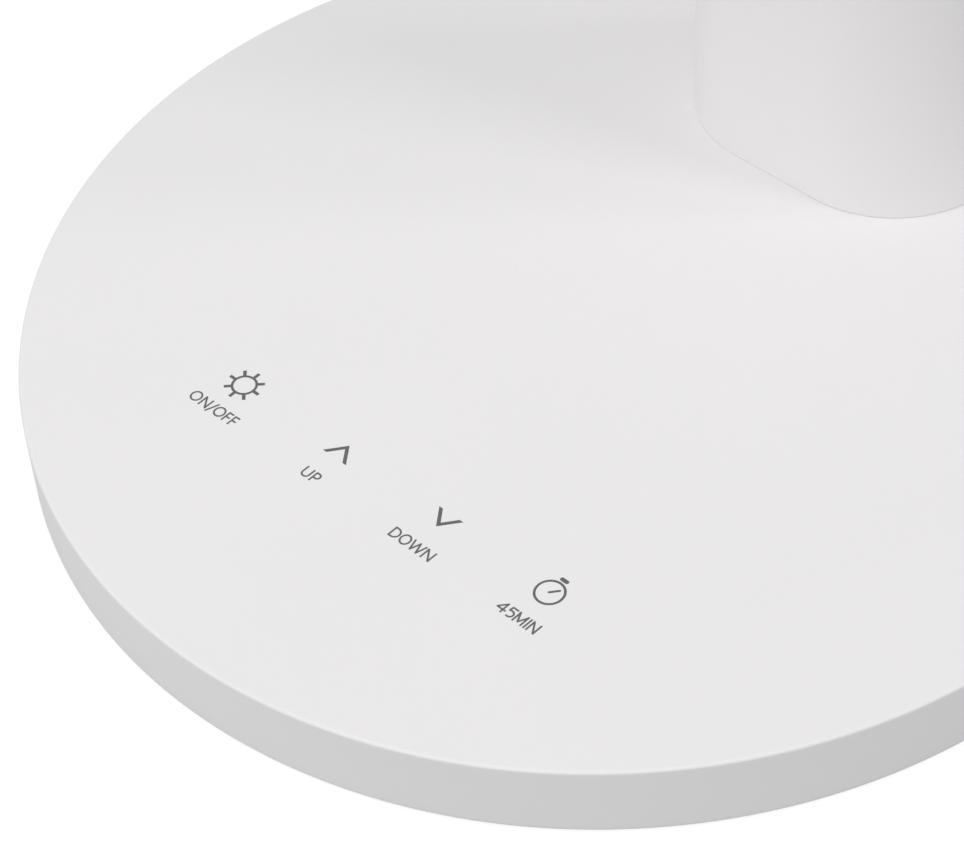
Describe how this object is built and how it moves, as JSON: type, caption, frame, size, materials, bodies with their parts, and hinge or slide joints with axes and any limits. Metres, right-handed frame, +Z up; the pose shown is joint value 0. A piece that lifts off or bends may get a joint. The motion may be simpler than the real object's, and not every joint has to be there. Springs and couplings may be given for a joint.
{
  "type": "led table lamp",
  "caption": "Table lamp with a round weighted touch base, a tapered column, a swivel neck and a slim tilting light bar.",
  "frame": {"origin": "centre of the face that the lamp rests on, under the middle of the round base", "axes": "+Z up; -Y to the front, where the user sits and the light bar points; +X to the user's right"},
  "size_m": [0.18, 0.3573, 0.3917],
  "materials": {
    "white_plastic": "satin moulded white",
    "white_enamel": "satin white paint on a zinc casting",
    "dark_pad": "matt non-slip foam rubber",
    "steel": "zinc plated",
    "cast_iron": "rough cast",
    "circuit_board": "solder resist",
    "copper": "bare copper foil",
    "black_plastic": "moulded black",
    "brass": "turned",
    "lead_sheath": "soft sheath",
    "bearing_resin": "natural bearing resin",
    "aluminium": "rolled sheet",
    "diode": "phosphor resin",
    "opal": "opal diffuser"
  },
  "bodies": {
    "base": {"base_cover": "white_plastic", "base_plate": "white_plastic", "base_pad": "dark_pad", "base_screws": "steel", "ballast_plate": "cast_iron", "touch_board": "circuit_board", "touch_electrodes": "copper", "touch_lead": "black_plastic", "control_board": "circuit_board", "control_parts": "black_plastic", "dc_jack": "black_plastic", "dc_jack_pin": "brass", "inlet_lead": "black_plastic", "stem_flange": "steel", "flange_screws": "steel", "stem_post": "steel", "stem_front_shell": "white_plastic", "stem_rear_shell": "white_plastic", "stem_screws": "steel", "stem_lead": "lead_sheath", "neck_bush": "bearing_resin", "swivel_stop_pin": "steel"},
    "neck": {"neck_turret": "white_enamel", "swivel_shaft": "steel", "swivel_washer": "steel", "swivel_nut": "steel", "hinge_pin": "steel", "hinge_nut": "steel", "hinge_caps": "white_plastic", "tilt_washers": "steel"},
    "head": {"hinge_tongue": "white_enamel", "tongue_screws": "steel", "head_shell": "white_plastic", "head_bezel": "white_plastic", "head_screws": "steel", "heat_spreader": "aluminium", "led_board": "white_plastic", "led_chips": "diode", "reflector_frame": "white_plastic", "diffuser": "opal", "head_lead": "lead_sheath"}
  },
  "joints": [
    {"name": "neck_swivel", "type": "hinge", "parent": "base", "child": "neck", "pos_m": [0, 0.0586, 0.3767], "axis": [0, 0, 1], "range_deg": [-90, 90]},
    {"name": "head_tilt", "type": "hinge", "parent": "neck", "child": "head", "pos_m": [0, 0.0586, 0.3767], "axis": [-1, 0, 0], "range_deg": [-40, 90]}
  ]
}
